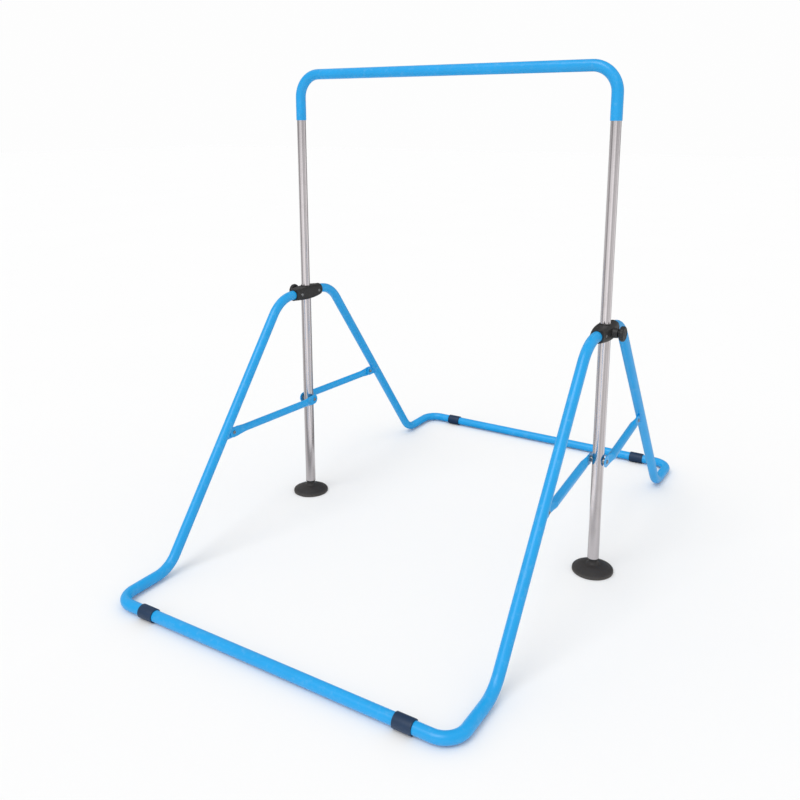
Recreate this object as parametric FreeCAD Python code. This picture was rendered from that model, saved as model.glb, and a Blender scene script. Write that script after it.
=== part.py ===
import FreeCAD, Part

import math
import os

# Free-standing kip bar: a bent grip bar on two telescoping uprights, held by moulded clamp blocks
# between a front and a rear floor frame.  Millimetres, +Z up, +X along the grip bar, -Y to the front.
# The origin is on the floor midway between the two uprights.

V = FreeCAD.Vector
X, Y, Z = V(1, 0, 0), V(0, 1, 0), V(0, 0, 1)
ORIGIN = V(0, 0, 0)

# ---- overall sizes ----
upright_spacing = 1100.0       # between the axes of the two uprights
bar_height = 1515.0            # grip bar axis above the floor, at the top of the height range
block_height = 765.0           # middle of the clamp blocks above the floor
floor_tube_reach = 905.0       # floor tube axis in front of, and behind, the uprights
shoulder_reach = 142.0         # where the leg's level stub would meet its straight shank
heel_reach = 708.0             # where the shank would meet the leg's run along the floor
brace_height = 365.0           # brace bolts above the floor

# ---- tubes ----
inner_upright_diameter = 30.0
inner_upright_wall = 1.5
outer_upright_wall = 1.5
bar_wall = 1.7
leg_diameter = 32.0
leg_wall = 1.5
brace_diameter = 25.0
brace_wall = 1.2
bar_bend_radius = 75.0
shoulder_bend_radius = 125.0
heel_bend_radius = 95.0
corner_bend_radius = 58.0

# ---- fits ----
slide_clearance = 0.10         # radial, inner upright in its guides
plug_in_clearance = 0.15       # radial, where a tube plugs into another
turning_clearance = 0.05       # radial, clamp stud in its threaded insert
pad_gap = 0.30                 # clamp pad to the inner upright with the screw at its stop
hole_clearance = 0.10          # radial, bolts in their holes

# ---- grip bar and inner uprights ----
bar_drop = 150.0               # from the bar axis to the lower end of its turned-down ends
bar_overlap = 60.0             # inner upright inside the end of the bar
upright_insertion = 148.0      # inner upright inside the outer one at full height
guide_plug_length = 24.0
guide_plug_tip = 4.0           # part of the guide plug that shows below the inner upright
bar_screw_radius = 2.5
bar_screw_head_radius = 5.0
bar_screw_head_height = 2.6
bar_screw_rise = 25.0          # screw above the lower end of the bar

# ---- guide bush in the top of each outer upright ----
bush_wall = 0.9
bush_length = 45.0
bush_flange = 2.0

# ---- clamp block ----
block_half_length = 70.0
block_side_wall = 8.5          # beside the outer upright
block_top_wall = 7.0           # above and below the legs
block_end_wall = 3.0           # around the leg at the ends of the block
block_edge_radius = 11.0
rim_wall = 4.6                 # raised ring round the mouth of each leg socket
rim_length = 8.0
rim_step = 2.0                 # ring beyond the end of the block
leg_end_gap = 8.5              # between the outer upright and the end of the leg
boss_lip = 2.0                 # knob boss beyond the threaded insert
boss_root_radius = 17.0
boss_end_radius = 14.0

# ---- bolts ----
block_bolt_reach = 48.0        # block bolts from the upright's axis
block_bolt_radius = 3.0
block_bolt_head_radius = 5.5
block_bolt_head_height = 3.6
bolt_seat_wall = 3.0           # between a leg and the seat of the head, and of the nut
bolt_length_past_nut = 1.5
nut_across_flats = 10.0
nut_height = 5.0
pocket_clearance = 0.25

# ---- clamp screw ----
pad_radius = 5.5
pad_length = 6.0
pad_hole_radius = 6.0
pad_travel = 3.0
stud_radius = 5.0
stud_tip_radius = 2.5
stud_tip_length = 2.9
insert_wall = 3.0
insert_length = 12.5
insert_gap = 1.2               # beyond the pad at the end of its travel
knob_gap = 1.0                 # between the boss and the knob when the clamp is tight
knob_hub_radius = 11.0
knob_hub_length = 5.0
knob_radius = 22.5
knob_thickness = 14.0
knob_edge_radius = 4.5
knob_flute_count = 12
knob_flute_radius = 5.0
knob_flute_depth = 1.1
stud_depth_in_knob = 12.0

# ---- floor frames ----
sleeve_wall = 3.5
sleeve_length = 52.0
sleeve_inset = 130.0           # middle of a sleeve from the upright's axis, along the floor tube
spigot_stop_gap = 3.0          # between a spigot's end and the start of the leg's corner bend

# ---- braces ----
flat_thickness = 3.0
flat_width = 34.0
flat_run = 2.0                 # flat of a brace beyond the rounded end of its tab
flare_length = 34.0
tab_thickness = 4.0
tab_gap = 2.0                  # between the leg and the rounded end of the brace
boss_height = 6.5              # weld boss on the upright
weld_boss_radius = 9.0
brace_bolt_radius = 3.0
brace_bolt_head_radius = 6.0
brace_bolt_head_height = 3.4
boss_bolt_depth = 5.5
vent_radius = 2.0

# ---- feet ----
foot_radius = 63.0
foot_rim_height = 5.0
foot_shoulder_height = 24.0
foot_neck_radius = 14.0
foot_neck_top = 41.0
foot_ring_width = 11.0
foot_hollow = 3.0
foot_plug_flange = 3.0
foot_plug_length = 30.0
foot_screw_radius = 2.5
foot_screw_head_radius = 6.0
foot_screw_head_height = 3.0
foot_screw_length = 50.0

# ---- derived sizes ----
half_spacing = upright_spacing / 2
inner_upright_radius = inner_upright_diameter / 2
bush_bore_radius = inner_upright_radius + slide_clearance
outer_upright_bore = bush_bore_radius + bush_wall
outer_upright_radius = outer_upright_bore + outer_upright_wall
bar_bore = inner_upright_radius + plug_in_clearance
bar_radius = bar_bore + bar_wall
leg_radius = leg_diameter / 2
leg_bore = leg_radius - leg_wall
brace_radius = brace_diameter / 2
sleeve_radius = leg_radius + sleeve_wall
floor_tube_height = sleeve_radius
block_half_width = outer_upright_radius + block_side_wall
block_half_height = leg_radius + block_top_wall
block_bolt_grip = leg_radius + bolt_seat_wall
block_top = block_height + block_half_height
bar_end_height = bar_height - bar_drop
inner_upright_bottom = block_top - upright_insertion
outer_upright_bottom = foot_neck_top + foot_plug_flange
leg_start = outer_upright_radius + leg_end_gap
block_end_radius = leg_radius + block_end_wall
rim_radius = leg_radius + rim_wall
sleeve_middle = half_spacing - sleeve_inset
leg_slope = (heel_reach - shoulder_reach) / (block_height - floor_tube_height)
leg_reach_at_brace = shoulder_reach + leg_slope * (block_height - brace_height)
leg_lean = math.atan(leg_slope)
tab_reach = (leg_radius + flat_width / 2 + tab_gap) / math.cos(leg_lean)
tab_bolt_reach = leg_reach_at_brace - tab_reach
flat_reach = flat_width / 2 + flat_run
spigot_length = sleeve_inset - corner_bend_radius - spigot_stop_gap
pad_inner = inner_upright_radius + pad_gap
pad_outer = pad_inner + pad_length
insert_start = pad_outer + pad_travel + insert_gap
insert_radius = stud_radius + turning_clearance + insert_wall
boss_end = insert_start + insert_length + boss_lip
knob_start = boss_end + knob_gap
disc_start = knob_start + knob_hub_length
disc_end = disc_start + knob_thickness


def cylinder(radius, start, direction, length):
    return Part.makeCylinder(radius, length, start, direction)


def pipe(outer, bore, start, direction, length):
    """A straight hollow cylinder."""
    return cylinder(outer, start, direction, length).cut(cylinder(bore, start, direction, length))


def join(shapes):
    return shapes[0].multiFuse(shapes[1:]).removeSplitter()


def group(shapes):
    return Part.makeCompound(shapes)


def unit(vector):
    return vector * (1 / vector.Length)


def bent_rod(corners, bend_radii, radius):
    """A solid round rod through the corners, each inner corner rounded to its bend radius."""
    def disc(centre, direction):
        return Part.Face(Part.Wire(Part.makeCircle(radius, centre, direction)))

    runs = []
    start = corners[0]
    for last_corner, corner, next_corner, bend in zip(corners, corners[1:], corners[2:], bend_radii):
        before = unit(corner - last_corner)
        after = unit(next_corner - corner)
        turn = before.getAngle(after)
        setback = bend * math.tan(turn / 2)
        bend_start = corner - before * setback
        runs.append(disc(start, before).extrude(bend_start - start))
        turn_axis = unit(before.cross(after))
        centre = bend_start + turn_axis.cross(before) * bend
        runs.append(disc(bend_start, before).revolve(centre, turn_axis, math.degrees(turn)))
        start = corner + after * setback
    last_run = corners[-1] - start
    runs.append(disc(start, unit(last_run)).extrude(last_run))
    return join(runs)


def bent_tube(corners, bend_radii, outer, bore):
    return bent_rod(corners, bend_radii, outer).cut(bent_rod(corners, bend_radii, bore))


def revolved(profile, base, axis):
    """A solid of revolution from a closed list of points and arc middles in one plane."""
    return Part.Face(Part.Wire(profile)).revolve(base, axis, 360)


def outline(points):
    """Straight edges through the points and back to the first one."""
    return [Part.LineSegment(a, b).toShape() for a, b in zip(points, points[1:] + points[:1])]


def hexagon(across_flats, start, direction, height):
    """A hexagonal prism along X with two flats level."""
    corner_radius = across_flats / 2 / math.cos(math.radians(30))
    corners = [start + V(0, math.cos(math.radians(60 * i)), math.sin(math.radians(60 * i))) * corner_radius
               for i in range(6)]
    return Part.Face(Part.Wire(outline(corners))).extrude(direction * height)


def domed_head(radius, height, seat, direction):
    """A button head that stands on its seat, with a rounded top edge."""
    head = cylinder(radius, seat, direction, height)
    top = [edge for edge in head.Edges
           if edge.Closed and abs((edge.CenterOfMass - seat).dot(direction) - height) < 1e-6]
    return head.makeFillet(height * 0.7, top)


def mirrored_in_x(shape):
    return shape.mirror(ORIGIN, X)


def mirrored_in_y(shape):
    return shape.mirror(ORIGIN, Y)


def on_both_sides(name, shape):
    """The same piece on the right and on the left upright."""
    return {"right_" + name: shape, "left_" + name: mirrored_in_x(shape)}


# ---- grip bar and what slides with it ----

def top_bar():
    end = V(half_spacing, 0, bar_end_height)
    corner = V(half_spacing, 0, bar_height)
    path = [V(-end.x, 0, end.z), V(-corner.x, 0, corner.z), corner, end]
    tube = bent_tube(path, [bar_bend_radius, bar_bend_radius], bar_radius, bar_bore)
    return tube.cut(group(bar_screw_holes()))


def bar_screw_holes():
    """Clearance holes in the back of both lower ends of the bar."""
    return [cylinder(bar_screw_radius + hole_clearance, V(x, 0, bar_end_height + bar_screw_rise), Y,
                     bar_radius + 1) for x in (half_spacing, -half_spacing)]


def bar_screws():
    screws = []
    for x in (half_spacing, -half_spacing):
        seat = V(x, bar_radius, bar_end_height + bar_screw_rise)
        shank_length = bar_radius - inner_upright_radius + inner_upright_wall
        shank = cylinder(bar_screw_radius, seat - Y * shank_length, Y, shank_length)
        head = domed_head(bar_screw_head_radius, bar_screw_head_height, seat, Y)
        screws.append(join([shank, head]))
    return group(screws)


def inner_upright():
    length = bar_end_height + bar_overlap - inner_upright_bottom
    tube = pipe(inner_upright_radius, inner_upright_radius - inner_upright_wall,
                V(half_spacing, 0, inner_upright_bottom), Z, length)
    return tube.cut(bar_screw_holes()[0])


def guide_plug():
    """Nylon plug that guides the lower end of the inner upright inside the outer one."""
    bottom = V(half_spacing, 0, inner_upright_bottom - guide_plug_tip)
    tip = cylinder(outer_upright_bore - slide_clearance, bottom, Z, guide_plug_tip)
    stem = cylinder(inner_upright_radius - inner_upright_wall, bottom, Z, guide_plug_length)
    bore = cylinder(inner_upright_radius / 2, bottom, Z, guide_plug_length)
    return join([tip, stem]).cut(bore)


# ---- outer upright, guide bush and foot ----

def outer_upright():
    bottom = V(half_spacing, 0, outer_upright_bottom)
    tube = pipe(outer_upright_radius, outer_upright_bore, bottom, Z, block_top - outer_upright_bottom)
    return tube.cut(clamp_hole(pad_hole_radius))


def clamp_hole(radius):
    """Level hole outwards from the upright's axis, through one wall."""
    return cylinder(radius, V(half_spacing, 0, block_height), X, outer_upright_radius + 1)


def guide_bush():
    bottom = V(half_spacing, 0, block_top - bush_length)
    sleeve = cylinder(outer_upright_bore, bottom, Z, bush_length + bush_flange)
    flange = cylinder(outer_upright_radius, V(half_spacing, 0, block_top), Z, bush_flange)
    bore = cylinder(bush_bore_radius, bottom, Z, bush_length + bush_flange)
    return join([sleeve, flange]).cut(bore).cut(clamp_hole(pad_hole_radius))


def weld_bosses():
    """Threaded bosses on the inner and outer side of both uprights, one for each brace."""
    bosses = []
    for direction in (X, -X):
        centre = V(half_spacing, 0, brace_height)
        boss = cylinder(weld_boss_radius, centre, direction, outer_upright_radius + boss_height)
        upright = cylinder(outer_upright_radius, centre - Z * weld_boss_radius * 2, Z, weld_boss_radius * 4)
        thread = cylinder(brace_bolt_radius, centre, direction, outer_upright_radius + boss_height)
        boss = boss.cut(upright).cut(thread)
        bosses += [boss, mirrored_in_x(boss)]
    return group(bosses)


def foot():
    """Flared rubber foot with a hollow underside, standing on its outer ring."""
    ring_inner = foot_radius - foot_ring_width
    points = [
        V(0, 0, foot_hollow), V(ring_inner - foot_hollow, 0, foot_hollow), V(ring_inner, 0, 0),
        V(foot_radius - 1, 0, 0), V(foot_radius, 0, 1), V(foot_radius, 0, foot_rim_height),
    ]
    edges = [Part.LineSegment(a, b).toShape() for a, b in zip(points, points[1:])]
    slope_foot = V(foot_radius - 5, 0, foot_rim_height + 4.5)
    rim_middle = V(foot_radius - 1.2, 0, foot_rim_height + 2.8)
    slope_top = V(foot_neck_radius + 9, 0, foot_shoulder_height)
    neck_foot = V(foot_neck_radius, 0, foot_shoulder_height + 9)
    neck_middle = V(foot_neck_radius + 2.8, 0, foot_shoulder_height + 3.4)
    neck_top = V(foot_neck_radius, 0, foot_neck_top)
    edges.append(Part.Arc(points[-1], rim_middle, slope_foot).toShape())
    dome_middle = (slope_foot + slope_top) * 0.5 + V(1, 0, 2.2)
    edges.append(Part.Arc(slope_foot, dome_middle, slope_top).toShape())
    edges.append(Part.Arc(slope_top, neck_middle, neck_foot).toShape())
    closing = [neck_foot, neck_top, V(0, 0, foot_neck_top), points[0]]
    edges += [Part.LineSegment(a, b).toShape() for a, b in zip(closing, closing[1:])]
    body = revolved(edges, ORIGIN, Z)
    screw_hole = cylinder(foot_screw_radius + hole_clearance, ORIGIN, Z, foot_neck_top)
    head_recess = cylinder(foot_screw_head_radius + hole_clearance, ORIGIN, Z,
                           foot_hollow + foot_screw_head_height)
    body = body.cut(screw_hole).cut(head_recess)
    return body.translated(V(half_spacing, 0, 0))


def foot_plug():
    """Nylon plug that closes the outer upright and carries the foot."""
    bottom = V(half_spacing, 0, foot_neck_top)
    flange = cylinder(outer_upright_radius, bottom, Z, foot_plug_flange)
    stem = cylinder(outer_upright_bore, bottom, Z, foot_plug_flange + foot_plug_length)
    return join([flange, stem]).cut(cylinder(foot_screw_radius, bottom, Z,
                                             foot_plug_flange + foot_plug_length))


def foot_screws():
    seat = V(half_spacing, 0, foot_hollow + foot_screw_head_height)
    head = cylinder(foot_screw_head_radius, seat - Z * foot_screw_head_height, Z, foot_screw_head_height)
    shank = cylinder(foot_screw_radius, seat, Z, foot_screw_length)
    screw = join([head, shank])
    return group([screw, mirrored_in_x(screw)])


# ---- clamp block ----

def block_shell():
    """Moulded block, solid, about its own middle: an oval in plan and in side view."""
    length, width, height, end = block_half_length, block_half_width, block_half_height, block_end_radius
    plan = [
        Part.Arc(V(end, -length, -height), V(width, 0, -height), V(end, length, -height)).toShape(),
        Part.LineSegment(V(end, length, -height), V(-end, length, -height)).toShape(),
        Part.Arc(V(-end, length, -height), V(-width, 0, -height), V(-end, -length, -height)).toShape(),
        Part.LineSegment(V(-end, -length, -height), V(end, -length, -height)).toShape(),
    ]
    side = [
        Part.Arc(V(-width, -length, end), V(-width, 0, height), V(-width, length, end)).toShape(),
        Part.LineSegment(V(-width, length, end), V(-width, length, -end)).toShape(),
        Part.Arc(V(-width, length, -end), V(-width, 0, -height), V(-width, -length, -end)).toShape(),
        Part.LineSegment(V(-width, -length, -end), V(-width, -length, end)).toShape(),
    ]
    in_plan = Part.Face(Part.Wire(plan)).extrude(Z * 2 * height)
    in_side = Part.Face(Part.Wire(side)).extrude(X * 2 * width)
    body = in_plan.common(in_side)
    long_edges = [edge for edge in body.Edges if edge.BoundBox.YLength > length]
    body = body.makeFillet(block_edge_radius, long_edges)
    rims = [cylinder(rim_radius, direction * (length - rim_length + rim_step), direction, rim_length)
            for direction in (Y, -Y)]
    boss = Part.makeCone(boss_root_radius, boss_end_radius, boss_end - width / 2, V(width / 2, 0, 0), X)
    return join([body, boss] + rims)


def block_holes():
    """Everything that is cut from the block, about its own middle."""
    tall = 2 * block_half_height
    deep = block_half_length + rim_step
    holes = [cylinder(outer_upright_radius, V(0, 0, -tall / 2), Z, tall)]
    for direction in (Y, -Y):
        holes.append(cylinder(leg_radius, direction * leg_start, direction, deep - leg_start))
        bolt_line = direction * block_bolt_reach
        holes.append(cylinder(block_bolt_radius + hole_clearance, bolt_line - X * block_half_width, X,
                              2 * block_half_width))
        holes.append(cylinder(block_bolt_head_radius + pocket_clearance,
                              bolt_line + X * block_bolt_grip, X, block_half_width))
        holes.append(hexagon(nut_across_flats + 2 * pocket_clearance, bolt_line - X * block_bolt_grip,
                             -X, block_half_width))
    holes.append(cylinder(pad_hole_radius, ORIGIN, X, insert_start))
    holes.append(cylinder(insert_radius, X * insert_start, X, insert_length))
    holes.append(cylinder(stud_radius + 2 * hole_clearance, ORIGIN, X, boss_end))
    return holes


def block_halves():
    """The block split on the upright's plane into an inner and an outer shell."""
    shell = block_shell().cut(group(block_holes()))
    reach = 2 * block_half_length
    half_space = Part.makeBox(reach, 2 * reach, reach, V(0, -reach, -reach / 2))
    place = V(half_spacing, 0, block_height)
    outer = shell.common(half_space).translated(place)
    inner = shell.cut(half_space).translated(place)
    return {**on_both_sides("block_outer_half", outer), **on_both_sides("block_inner_half", inner)}


def block_bolts():
    bolts = []
    for reach in (block_bolt_reach, -block_bolt_reach):
        seat = V(half_spacing + block_bolt_grip, reach, block_height)
        shank_length = 2 * block_bolt_grip + nut_height + bolt_length_past_nut
        shank = cylinder(block_bolt_radius, seat - X * shank_length, X, shank_length)
        bolt = join([shank, domed_head(block_bolt_head_radius, block_bolt_head_height, seat, X)])
        bolts += [bolt, mirrored_in_x(bolt)]
    return group(bolts)


def hex_nut(face, direction):
    """A nut whose seat is at face and which stands out along direction."""
    nut = hexagon(nut_across_flats, face, direction, nut_height)
    return nut.cut(cylinder(block_bolt_radius, face, direction, nut_height))


def block_nuts():
    nuts = []
    for reach in (block_bolt_reach, -block_bolt_reach):
        nut = hex_nut(V(half_spacing - block_bolt_grip, reach, block_height), -X)
        nuts += [nut, mirrored_in_x(nut)]
    return group(nuts)


# ---- clamp screw ----

def clamp_place(distance):
    """A point on the clamp screw's axis, at a distance out from the upright's axis."""
    return V(half_spacing + distance, 0, block_height)


def threaded_insert():
    return pipe(insert_radius, stud_radius + turning_clearance, clamp_place(insert_start), X, insert_length)


def pressure_pad():
    pad = cylinder(pad_radius, clamp_place(pad_inner), X, pad_length)
    socket_depth = stud_tip_length + slide_clearance
    socket = cylinder(stud_tip_radius + slide_clearance, clamp_place(pad_outer - socket_depth), X,
                      socket_depth)
    return pad.cut(socket)


def clamp_stud():
    shoulder = pad_outer + slide_clearance
    body = cylinder(stud_radius, clamp_place(shoulder), X, knob_start + stud_depth_in_knob - shoulder)
    tip = cylinder(stud_tip_radius, clamp_place(shoulder - stud_tip_length), X, stud_tip_length)
    return join([body, tip])


def knob():
    """Round fluted knob on a narrower hub."""
    hub = cylinder(knob_hub_radius, clamp_place(knob_start), X, knob_hub_length)
    disc = cylinder(knob_radius, clamp_place(disc_start), X, knob_thickness)
    rims = [edge for edge in disc.Edges if edge.Closed and edge.BoundBox.XLength < 1e-6]
    disc = disc.makeFillet(knob_edge_radius, rims)
    flutes = []
    for i in range(knob_flute_count):
        angle = 2 * math.pi * i / knob_flute_count
        out = knob_radius + knob_flute_radius - knob_flute_depth
        centre = clamp_place(disc_start) + V(0, math.cos(angle), math.sin(angle)) * out
        flutes.append(cylinder(knob_flute_radius, centre, X, knob_thickness))
    stud_hole = cylinder(stud_radius, clamp_place(knob_start), X, stud_depth_in_knob)
    return join([hub, disc]).cut(group(flutes)).cut(stud_hole)


# ---- floor frames ----

def front_leg():
    """Right front leg: from inside the block, down to the floor and round to the floor tube."""
    corners = [
        V(half_spacing, -leg_start, block_height),
        V(half_spacing, -shoulder_reach, block_height),
        V(half_spacing, -heel_reach, floor_tube_height),
        V(half_spacing, -floor_tube_reach, floor_tube_height),
        V(sleeve_middle, -floor_tube_reach, floor_tube_height),
    ]
    bends = [shoulder_bend_radius, heel_bend_radius, corner_bend_radius]
    tube = bent_tube(corners, bends, leg_radius, leg_bore)
    bolt_start = V(half_spacing - leg_diameter, -block_bolt_reach, block_height)
    return tube.cut(cylinder(block_bolt_radius + hole_clearance, bolt_start, X, 2 * leg_diameter))


def floor_tube():
    """Front floor tube with a reduced spigot at each end, which plugs into the legs."""
    start = V(-sleeve_middle, -floor_tube_reach, floor_tube_height)
    body = cylinder(leg_radius, start, X, 2 * sleeve_middle)
    spigot = cylinder(leg_bore - plug_in_clearance, start - X * spigot_length, X,
                      2 * (sleeve_middle + spigot_length))
    bore = cylinder(leg_bore - plug_in_clearance - leg_wall, start - X * spigot_length, X,
                    2 * (sleeve_middle + spigot_length))
    return join([body, spigot]).cut(bore)


def sleeve():
    """Right front rubber sleeve, over the joint between the leg and the floor tube."""
    start = V(sleeve_middle - sleeve_length / 2, -floor_tube_reach, floor_tube_height)
    body = cylinder(sleeve_radius, start, X, sleeve_length)
    body = body.makeChamfer(1.0, [edge for edge in body.Edges if edge.Closed])
    return body.cut(cylinder(leg_radius, start, X, sleeve_length))


def four_corners(name, shape):
    """A right front piece, and its copies at the other three corners."""
    return {
        "front_right_" + name: shape,
        "front_left_" + name: mirrored_in_x(shape),
        "rear_right_" + name: mirrored_in_y(shape),
        "rear_left_" + name: mirrored_in_x(mirrored_in_y(shape)),
    }


# ---- braces ----

def brace_tabs():
    """Plates welded to the legs, pointing level towards the uprights."""
    axis_point = V(half_spacing - tab_thickness / 2, -leg_reach_at_brace, brace_height)
    flat = tab_reach + flat_width / 2
    plate = Part.makeBox(tab_thickness, tab_reach, flat_width, axis_point - Z * flat_width / 2)
    end = V(axis_point.x, -tab_bolt_reach, brace_height)
    plate = join([plate, cylinder(flat_width / 2, end, X, tab_thickness)])
    along_leg = unit(V(0, -leg_slope, -1))
    leg_start_point = V(half_spacing, -leg_reach_at_brace, brace_height) - along_leg * 2 * flat
    plate = plate.cut(cylinder(leg_radius, leg_start_point, along_leg, 4 * flat))
    behind = Part.makeBox(flat_width, flat, 2 * flat_width,
                          V(half_spacing - flat_width / 2, -leg_reach_at_brace - flat, brace_height
                            - flat_width))
    plate = plate.cut(behind)
    plate = plate.cut(cylinder(brace_bolt_radius + hole_clearance, end - X, X, tab_thickness + 2))
    plate = max(plate.Solids, key=lambda solid: solid.Volume)
    return group(list(four_corners("tab", plate).values()))


def flat_section(x, y):
    """Outline of the flattened end of a brace, thin along X, in four edges."""
    half = flat_thickness / 2
    top = flat_width / 2 - half
    right_low, right_high = V(x + half, y, brace_height - top), V(x + half, y, brace_height + top)
    left_low, left_high = V(x - half, y, brace_height - top), V(x - half, y, brace_height + top)
    return Part.Wire([
        Part.LineSegment(right_low, right_high).toShape(),
        Part.Arc(right_high, V(x, y, brace_height + flat_width / 2), left_high).toShape(),
        Part.LineSegment(left_high, left_low).toShape(),
        Part.Arc(left_low, V(x, y, brace_height - flat_width / 2), right_low).toShape(),
    ])


def round_section(x, y):
    """The brace tube's circle in four arcs that answer the edges of the flattened end."""
    def on_circle(degrees):
        angle = math.radians(degrees)
        return V(x + brace_radius * math.cos(angle), y, brace_height + brace_radius * math.sin(angle))

    stops = [(-60, 0, 60), (60, 90, 120), (120, 180, 240), (240, 270, 300)]
    return Part.Wire([Part.Arc(*[on_circle(stop) for stop in arc]).toShape() for arc in stops])


def brace(tab_x, boss_x):
    """A front brace: a tube flattened at both ends, from a leg tab to an upright's weld boss."""
    tab_end, boss_end_y = -tab_bolt_reach, 0.0
    lean = (boss_x - tab_x) / (tab_bolt_reach - 2 * (flat_reach + flare_length))
    pieces = []
    round_places = []
    for x, y, inward in ((tab_x, tab_end, 1), (boss_x, boss_end_y, -1)):
        bolt = V(x - flat_thickness / 2, y, brace_height)
        pieces.append(cylinder(flat_width / 2, bolt, X, flat_thickness))
        flat_y = y + inward * flat_reach
        low = V(bolt.x, min(y, flat_y), brace_height - flat_width / 2)
        pieces.append(Part.makeBox(flat_thickness, flat_reach, flat_width, low))
        round_y = flat_y + inward * flare_length
        pieces.append(Part.makeLoft([flat_section(x, flat_y), round_section(x, round_y)], True, True))
        round_places.append(V(x, round_y, brace_height))
    start, end = round_places
    tube = Part.makeLoft([round_section(start.x, start.y), round_section(end.x, end.y)], True, True)
    shaft = end - start
    hollow = cylinder(brace_radius - brace_wall, start, unit(shaft), shaft.Length)
    vents = [cylinder(vent_radius, V(place.x, place.y + inward * 4 * vent_radius, brace_height), -Z,
                      brace_diameter) for place, inward in ((start, 1), (end, -1))]
    holes = [cylinder(brace_bolt_radius + hole_clearance, V(x - brace_diameter, y, brace_height), X,
                      2 * brace_diameter) for x, y in ((tab_x, tab_end), (boss_x, boss_end_y))]
    return join(pieces + [tube]).cut(group([hollow])).cut(group(vents)).cut(group(holes))


def front_brace_places():
    """Middle planes of the front brace's flats: inside the leg tab, and inside the upright."""
    tab_x = half_spacing - (tab_thickness + flat_thickness) / 2
    boss_x = half_spacing - outer_upright_radius - boss_height - flat_thickness / 2
    return tab_x, boss_x


def braces():
    """Front braces pass inside the uprights and rear braces outside them."""
    tab_x, boss_x = front_brace_places()
    front = brace(tab_x, boss_x)
    rear = brace(upright_spacing - tab_x, upright_spacing - boss_x).mirror(ORIGIN, Y)
    return {**on_both_sides("front_brace", front), **on_both_sides("rear_brace", rear)}


def across_front_and_rear(shape):
    """A right front brace fastener, its opposite on the rear brace, and both on the left side."""
    rear = mirrored_in_y(shape.mirror(V(half_spacing, 0, 0), X))
    return group([shape, rear, mirrored_in_x(shape), mirrored_in_x(rear)])


def brace_tab_bolts():
    tab_x, _ = front_brace_places()
    seat = V(tab_x - flat_thickness / 2, -tab_bolt_reach, brace_height)
    shank_length = flat_thickness + tab_thickness + nut_height + bolt_length_past_nut
    shank = cylinder(brace_bolt_radius, seat, X, shank_length)
    head = domed_head(brace_bolt_head_radius, brace_bolt_head_height, seat, -X)
    return across_front_and_rear(join([shank, head]))


def brace_tab_nuts():
    face = V(half_spacing + tab_thickness / 2, -tab_bolt_reach, brace_height)
    return across_front_and_rear(hex_nut(face, X))


def brace_upright_bolts():
    _, boss_x = front_brace_places()
    seat = V(boss_x - flat_thickness / 2, 0, brace_height)
    shank = cylinder(brace_bolt_radius, seat, X, flat_thickness + boss_bolt_depth)
    head = domed_head(brace_bolt_head_radius, brace_bolt_head_height, seat, -X)
    return across_front_and_rear(join([shank, head]))


def all_nodes():
    front_tube = floor_tube()
    nodes = {
        "top_bar": top_bar(),
        "bar_screws": bar_screws(),
        "weld_bosses": weld_bosses(),
        "foot_screws": foot_screws(),
        "block_bolts": block_bolts(),
        "block_nuts": block_nuts(),
        "front_floor_tube": front_tube,
        "rear_floor_tube": mirrored_in_y(front_tube),
        "brace_tabs": brace_tabs(),
        "brace_tab_bolts": brace_tab_bolts(),
        "brace_tab_nuts": brace_tab_nuts(),
        "brace_upright_bolts": brace_upright_bolts(),
    }
    paired = {
        "inner_upright": inner_upright, "guide_plug": guide_plug, "outer_upright": outer_upright,
        "guide_bush": guide_bush, "foot": foot, "foot_plug": foot_plug,
        "threaded_insert": threaded_insert, "pressure_pad": pressure_pad, "clamp_stud": clamp_stud,
        "knob": knob,
    }
    for name, make in paired.items():
        nodes.update(on_both_sides(name, make()))
    nodes.update(block_halves())
    nodes.update(braces())
    nodes.update(four_corners("leg", front_leg()))
    nodes.update(four_corners("sleeve", sleeve()))
    return nodes


os.makedirs("parts", exist_ok=True)
for node_name, node_shape in all_nodes().items():
    node_shape.exportStep("parts/" + node_name + ".step")
    print(f"{node_name:24s} solids {len(node_shape.Solids)}  valid {node_shape.isValid()}"
          f"  {node_shape.Volume / 1000:9.2f} cm3")
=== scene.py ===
import math

import bmesh
import bpy
from mathutils import Matrix, Vector


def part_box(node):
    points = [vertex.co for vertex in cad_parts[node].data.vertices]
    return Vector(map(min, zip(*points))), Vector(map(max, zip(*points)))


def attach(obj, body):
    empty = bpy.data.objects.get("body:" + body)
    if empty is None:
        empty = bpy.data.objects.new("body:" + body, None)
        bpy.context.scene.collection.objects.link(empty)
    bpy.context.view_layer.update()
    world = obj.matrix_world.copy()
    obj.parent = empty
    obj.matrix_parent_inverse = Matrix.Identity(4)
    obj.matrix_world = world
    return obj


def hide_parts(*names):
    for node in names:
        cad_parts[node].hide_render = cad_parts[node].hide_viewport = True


# Looks of a free-standing kip bar: a powder coated grip bar on plated telescoping uprights,
# moulded clamp blocks, tubular floor frames, rubber feet and their fasteners.  Metres.

bl_info = {
    "name": "Kip bar finishes and fittings",
    "version": (1, 0, 0),
    "blender": (4, 5, 0),
    "location": "3D Viewport > Sidebar > Kip bar",
    "description": "Finishes the kip bar's tubes and builds its moulded and turned fittings",
    "category": "Object",
}

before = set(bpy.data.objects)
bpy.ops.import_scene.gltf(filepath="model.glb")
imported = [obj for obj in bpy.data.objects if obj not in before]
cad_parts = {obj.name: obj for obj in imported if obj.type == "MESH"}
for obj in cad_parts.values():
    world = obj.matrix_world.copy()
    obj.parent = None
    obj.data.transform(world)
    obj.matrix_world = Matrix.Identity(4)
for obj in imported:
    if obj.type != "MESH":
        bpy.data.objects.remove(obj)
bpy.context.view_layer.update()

MM = 0.001
SIDES = (("right", 1), ("left", -1))
BUILT = {}


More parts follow.
